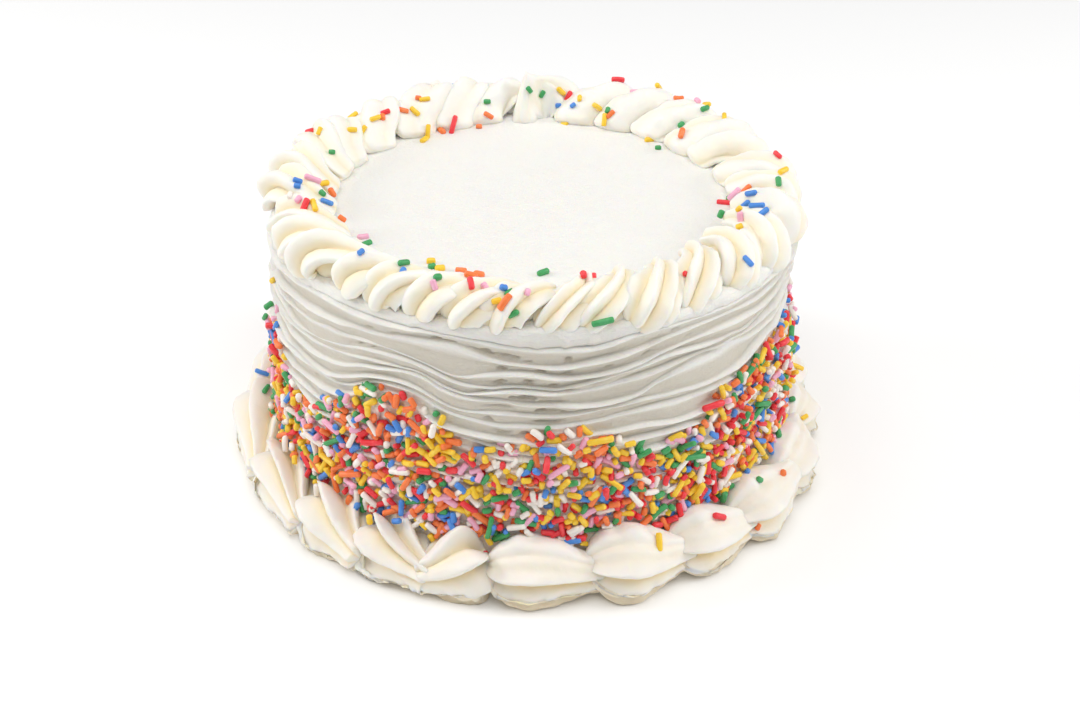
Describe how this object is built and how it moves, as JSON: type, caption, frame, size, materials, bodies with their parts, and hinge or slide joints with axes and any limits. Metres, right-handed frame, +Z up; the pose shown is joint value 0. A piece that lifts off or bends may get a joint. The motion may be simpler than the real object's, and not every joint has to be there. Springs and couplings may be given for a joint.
{
  "type": "white layer cake",
  "caption": "Round white frosted layer cake with a combed wall, a flat top, a border of piped shells round the foot and a border of piped swirls round the top edge.",
  "frame": {"origin": "middle of the cake's footprint, on the surface it stands on", "axes": "+Z up; -Y towards the side that faces the viewer, +X to the viewer's right"},
  "size_m": [0.2338, 0.235, 0.1176],
  "materials": {
    "frosting": "smooth white icing with a soft satin sheen",
    "piped_icing": "smooth white piped icing, warm in its grooves, with a soft satin sheen",
    "sprinkles": "sugar strands in red, orange, yellow, green, blue, pink and white"
  },
  "bodies": {
    "root": {"bottom_shell_01": "piped_icing", "bottom_shell_02": "piped_icing", "bottom_shell_03": "piped_icing", "bottom_shell_04": "piped_icing", "bottom_shell_05": "piped_icing", "bottom_shell_06": "piped_icing", "bottom_shell_07": "piped_icing", "bottom_shell_08": "piped_icing", "bottom_shell_09": "piped_icing", "bottom_shell_10": "piped_icing", "bottom_shell_11": "piped_icing", "bottom_shell_12": "piped_icing", "bottom_shell_13": "piped_icing", "bottom_shell_14": "piped_icing", "bottom_shell_15": "piped_icing", "bottom_shell_16": "piped_icing", "bottom_shell_17": "piped_icing", "bottom_shell_18": "piped_icing", "bottom_shell_19": "piped_icing", "bottom_shell_20": "piped_icing", "cake_body": "frosting", "top_shell_01": "piped_icing", "top_shell_02": "piped_icing", "top_shell_03": "piped_icing", "top_shell_04": "piped_icing", "top_shell_05": "piped_icing", "top_shell_06": "piped_icing", "top_shell_07": "piped_icing", "top_shell_08": "piped_icing", "top_shell_09": "piped_icing", "top_shell_10": "piped_icing", "top_shell_11": "piped_icing", "top_shell_12": "piped_icing", "top_shell_13": "piped_icing", "top_shell_14": "piped_icing", "top_shell_15": "piped_icing", "top_shell_16": "piped_icing", "top_shell_17": "piped_icing", "top_shell_18": "piped_icing", "top_shell_19": "piped_icing", "top_shell_20": "piped_icing", "top_shell_21": "piped_icing", "top_shell_22": "piped_icing", "top_shell_23": "piped_icing", "top_shell_24": "piped_icing", "top_shell_25": "piped_icing", "top_shell_26": "piped_icing", "top_shell_27": "piped_icing", "top_shell_28": "piped_icing", "top_shell_29": "piped_icing", "top_shell_30": "piped_icing", "top_shell_31": "piped_icing"}
  },
  "joints": []
}
